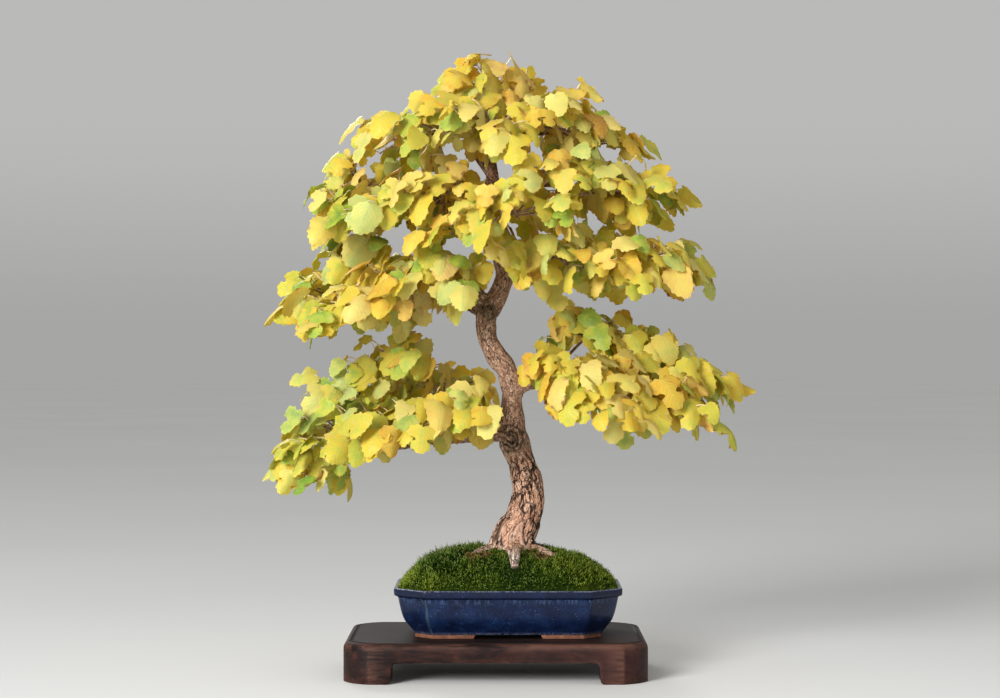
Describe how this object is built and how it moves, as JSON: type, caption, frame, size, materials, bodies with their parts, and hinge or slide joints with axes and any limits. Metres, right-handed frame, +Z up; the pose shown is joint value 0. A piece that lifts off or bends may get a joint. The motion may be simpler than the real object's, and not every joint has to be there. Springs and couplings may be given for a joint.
{
  "type": "mulberry bonsai",
  "caption": "Potted bonsai tree with a winding trunk and tiers of leafy limbs over a moss mound, in a cut-corner glazed pot on a low wooden stand.",
  "frame": {"origin": "on the surface that the stand rests on, under the middle of the whole object's box", "axes": "+Z up the tree; the tree's front faces -Y; +X to the viewer's right"},
  "size_m": [0.6932, 0.4722, 0.8604],
  "materials": {
    "stand_wood": "satin",
    "pot_glaze": "gloss",
    "drain_mesh": "matte",
    "soil": "matte",
    "moss": "matte",
    "bark": "matte",
    "foliage": "satin"
  },
  "bodies": {
    "root": {"stand": "stand_wood", "pot": "pot_glaze", "drain_mesh_left": "drain_mesh", "drain_mesh_right": "drain_mesh", "soil": "soil", "moss": "moss", "trunk": "bark", "spray_low_left_1": "foliage", "spray_low_left_2": "foliage", "spray_low_left_3": "foliage", "spray_low_left_4": "foliage", "spray_low_left_5": "foliage", "spray_low_left_6": "foliage", "spray_low_left_back_1": "foliage", "spray_low_left_back_2": "foliage", "spray_low_left_back_3": "foliage", "spray_low_right_1": "foliage", "spray_low_right_2": "foliage", "spray_low_right_3": "foliage", "spray_low_right_4": "foliage", "spray_low_right_5": "foliage", "spray_low_right_6": "foliage", "spray_low_right_back_1": "foliage", "spray_low_right_back_2": "foliage", "spray_mid_left_1": "foliage", "spray_mid_left_2": "foliage", "spray_mid_left_3": "foliage", "spray_mid_left_4": "foliage", "spray_mid_left_5": "foliage", "spray_mid_left_6": "foliage", "spray_mid_left_back_1": "foliage", "spray_mid_left_back_2": "foliage", "spray_mid_right_1": "foliage", "spray_mid_right_2": "foliage", "spray_mid_right_3": "foliage", "spray_mid_right_4": "foliage", "spray_mid_right_back_1": "foliage", "spray_mid_right_back_2": "foliage", "spray_upper_left_1": "foliage", "spray_upper_left_2": "foliage", "spray_upper_left_3": "foliage", "spray_upper_left_4": "foliage", "spray_upper_front_1": "foliage", "spray_upper_front_2": "foliage", "spray_upper_right_1": "foliage", "spray_upper_right_2": "foliage", "spray_upper_right_3": "foliage", "spray_upper_back_1": "foliage", "spray_upper_back_2": "foliage", "spray_apex_left_1": "foliage", "spray_apex_left_2": "foliage", "spray_apex_right_1": "foliage", "spray_apex_right_2": "foliage", "spray_apex_front_1": "foliage", "spray_apex_back_1": "foliage", "spray_leader_1": "foliage"}
  },
  "joints": []
}
